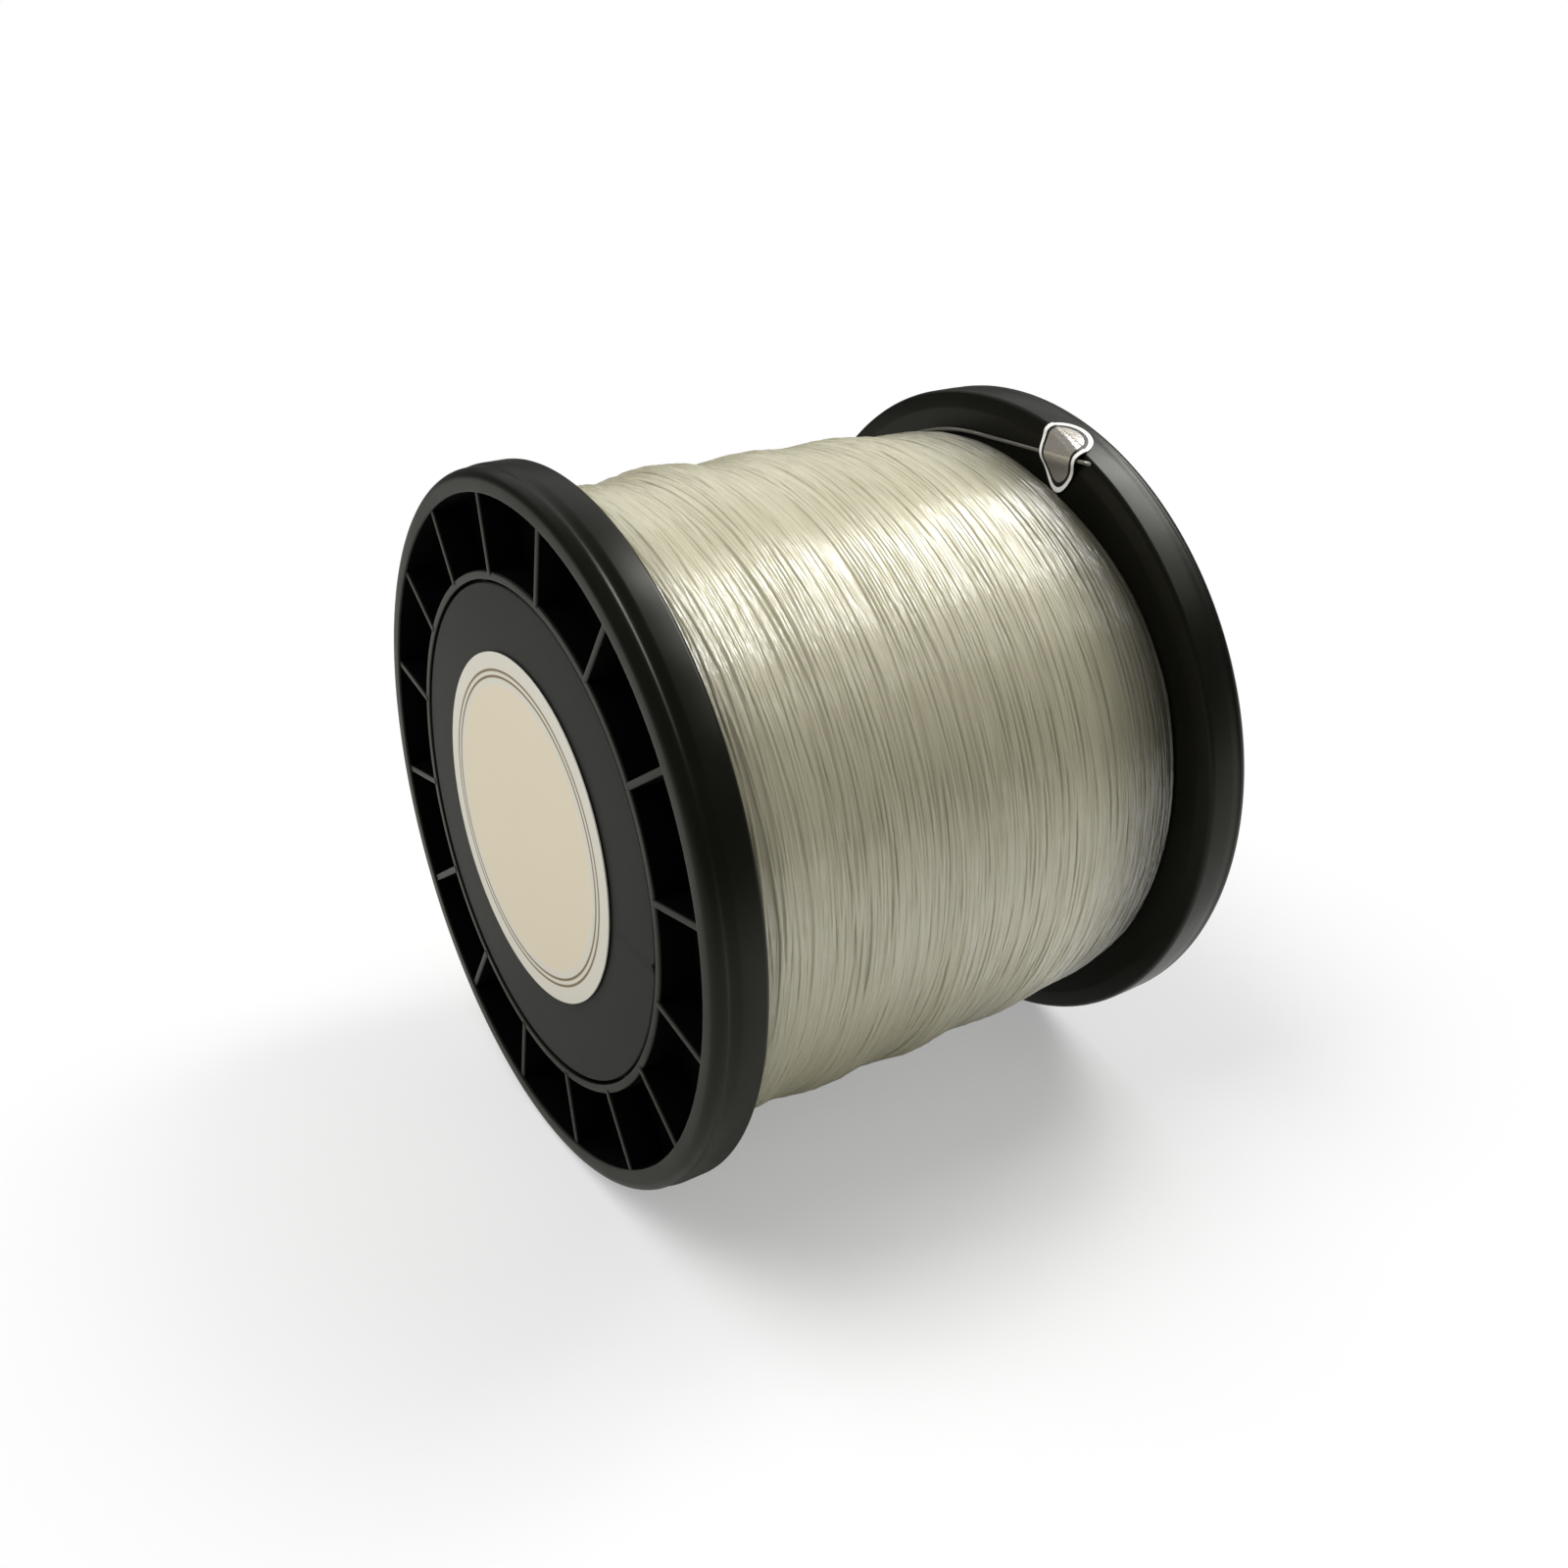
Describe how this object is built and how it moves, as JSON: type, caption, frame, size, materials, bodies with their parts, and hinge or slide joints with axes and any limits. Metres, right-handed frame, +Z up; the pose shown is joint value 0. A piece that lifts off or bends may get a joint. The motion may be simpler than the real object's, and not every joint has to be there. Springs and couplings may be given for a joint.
{
  "type": "fishing line spool",
  "caption": "Flanged spool wound full of clear monofilament line, with ribbed flanges, end plates with a spindle bore, a round label and a sticker on the line's end.",
  "frame": {"origin": "on the ground under the middle of the spool, which lies on its rims", "axes": "+X along the spool's axis from the labelled front to the rear, +Z up, +Y to the side"},
  "size_m": [0.1064, 0.1248, 0.1248],
  "materials": {
    "abs_black": "moulded black ABS, semi-gloss",
    "abs_satin": "moulded black ABS, fine satin texture",
    "nylon_line": "clear nylon monofilament with a champagne tint",
    "label_paper": "coated paper",
    "sticker_foil": "silver foil sticker"
  },
  "bodies": {
    "root": {"front_flange": "abs_black", "rear_flange": "abs_black", "barrel": "abs_black", "spindle_tube": "abs_black", "front_end_plate": "abs_satin", "rear_end_plate": "abs_satin", "line_core": "nylon_line", "line_outer_layer": "nylon_line", "line_tail": "nylon_line", "front_label": "label_paper", "end_sticker": "sticker_foil"}
  },
  "joints": []
}
